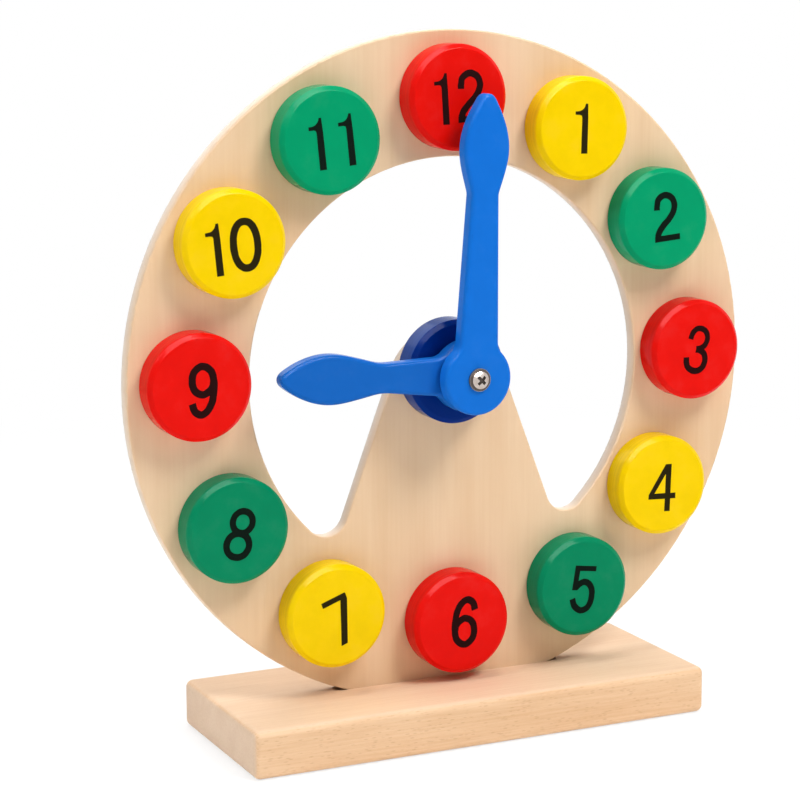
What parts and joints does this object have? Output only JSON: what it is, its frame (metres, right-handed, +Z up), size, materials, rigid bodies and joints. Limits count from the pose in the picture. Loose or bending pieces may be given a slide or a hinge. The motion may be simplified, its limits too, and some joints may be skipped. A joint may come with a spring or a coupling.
{
  "type": "teaching clock",
  "caption": "Standing wooden teaching clock with a pierced round face on a foot board, raised number discs and two hands turned by hand on one pivot screw.",
  "frame": {"origin": "middle of the foot board's underside", "axes": "+Z up, -Y out of the clock's face towards the reader, +X to the reader's right"},
  "size_m": [0.19, 0.056, 0.1978],
  "materials": {
    "beech_board": "smooth sanded solid beech",
    "beech_plate": "smooth sanded light plywood",
    "navy_paint": "painted wood, satin",
    "blue_paint": "painted wood, satin",
    "screw_steel": "plated steel",
    "red_paint": "painted wood, satin",
    "yellow_paint": "painted wood, satin",
    "green_paint": "painted wood, satin"
  },
  "bodies": {
    "stand": {"base_board": "beech_board", "face_plate": "beech_plate", "hub_disc": "navy_paint", "pivot_screw": "screw_steel", "head_washer": "screw_steel", "hub_spacer_washer": "screw_steel", "hand_spacer_washer": "screw_steel", "number_disc_01": "yellow_paint", "number_disc_02": "green_paint", "number_disc_03": "red_paint", "number_disc_04": "yellow_paint", "number_disc_05": "green_paint", "number_disc_06": "red_paint", "number_disc_07": "yellow_paint", "number_disc_08": "green_paint", "number_disc_09": "red_paint", "number_disc_10": "yellow_paint", "number_disc_11": "green_paint", "number_disc_12": "red_paint"},
    "hour_hand": {"hour_hand": "blue_paint"},
    "minute_hand": {"minute_hand": "blue_paint"}
  },
  "joints": [
    {"name": "hour_hand_pivot", "type": "hinge", "parent": "stand", "child": "hour_hand", "pos_m": [0, -0.013, 0.1028], "axis": [0, 1, 0], "continuous": true},
    {"name": "minute_hand_pivot", "type": "hinge", "parent": "stand", "child": "minute_hand", "pos_m": [0, -0.019, 0.1028], "axis": [0, 1, 0], "continuous": true}
  ]
}
